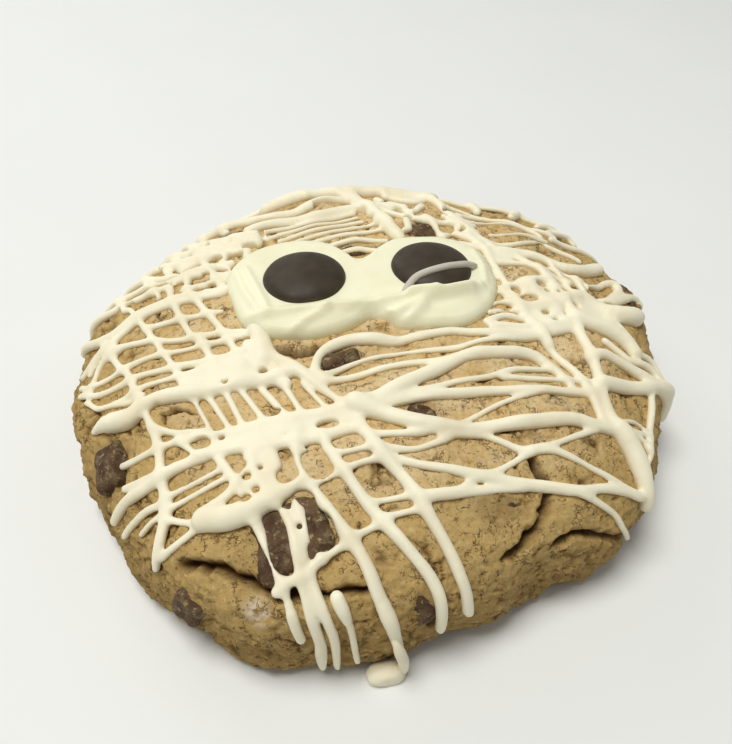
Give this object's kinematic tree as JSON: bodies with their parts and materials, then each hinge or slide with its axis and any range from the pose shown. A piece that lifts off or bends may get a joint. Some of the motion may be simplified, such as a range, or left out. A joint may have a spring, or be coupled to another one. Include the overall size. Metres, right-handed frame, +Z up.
{
  "type": "iced chocolate chunk cookie",
  "caption": "Thick round chocolate chunk cookie under a net of white icing drizzle, with an icing mask and two candy eyes, resting flat.",
  "frame": {"origin": "centre of the cookie's box on its flat underside", "axes": "+Z up, +X to the right of the face, -Y towards the chin end that the face looks over"},
  "size_m": [0.103, 0.1028, 0.0295],
  "materials": {
    "dough": "matte, crumbly baked dough",
    "icing": "set white icing, satin",
    "candy": "smooth dark brown candy shell, satin",
    "chocolate": "dark chocolate with a dusty bloom"
  },
  "bodies": {
    "root": {"cookie": "dough", "icing_mask": "icing", "eye_left": "candy", "eye_right": "candy", "chocolate_chunk_1": "chocolate", "chocolate_chunk_2": "chocolate", "chocolate_chunk_3": "chocolate", "chocolate_chunk_4": "chocolate", "chocolate_chunk_5": "chocolate", "chocolate_chunk_6": "chocolate", "chocolate_chunk_7": "chocolate", "chocolate_chunk_8": "chocolate", "chocolate_chunk_9": "chocolate", "chocolate_chunk_10": "chocolate", "chocolate_chunk_11": "chocolate", "chocolate_chunk_12": "chocolate", "chocolate_chunk_13": "chocolate"}
  },
  "joints": []
}
